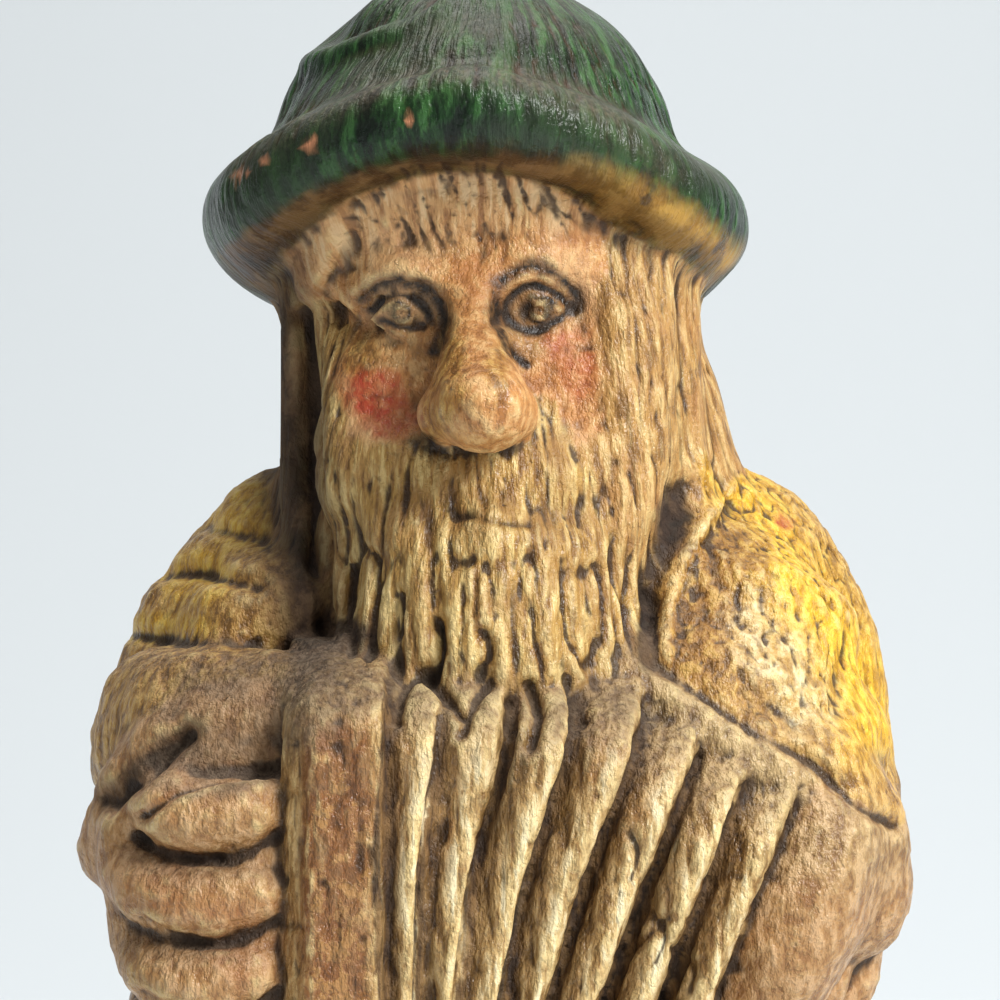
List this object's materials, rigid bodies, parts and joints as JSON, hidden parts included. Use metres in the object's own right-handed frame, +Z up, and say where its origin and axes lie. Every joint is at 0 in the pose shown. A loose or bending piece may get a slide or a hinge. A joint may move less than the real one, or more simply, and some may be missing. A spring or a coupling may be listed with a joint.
{
  "type": "accordion player figurine",
  "caption": "Small painted figurine of a bearded gnome in a rolled-brim hat and long coat, standing on a low mound and playing an accordion.",
  "frame": {"origin": "middle of the base's flat underside, on the surface the figurine stands on", "axes": "+Z up through the hat, -Y the way the gnome looks, +X to the gnome's left"},
  "size_m": [0.0875, 0.0698, 0.184],
  "materials": {
    "painted_casting": "hand-painted cast resin imitating carved wood: green hat, ochre coat, cream beard, brown patina in the hollows, satin varnish, dust"
  },
  "bodies": {
    "root": {"figurine": "painted_casting"}
  },
  "joints": []
}
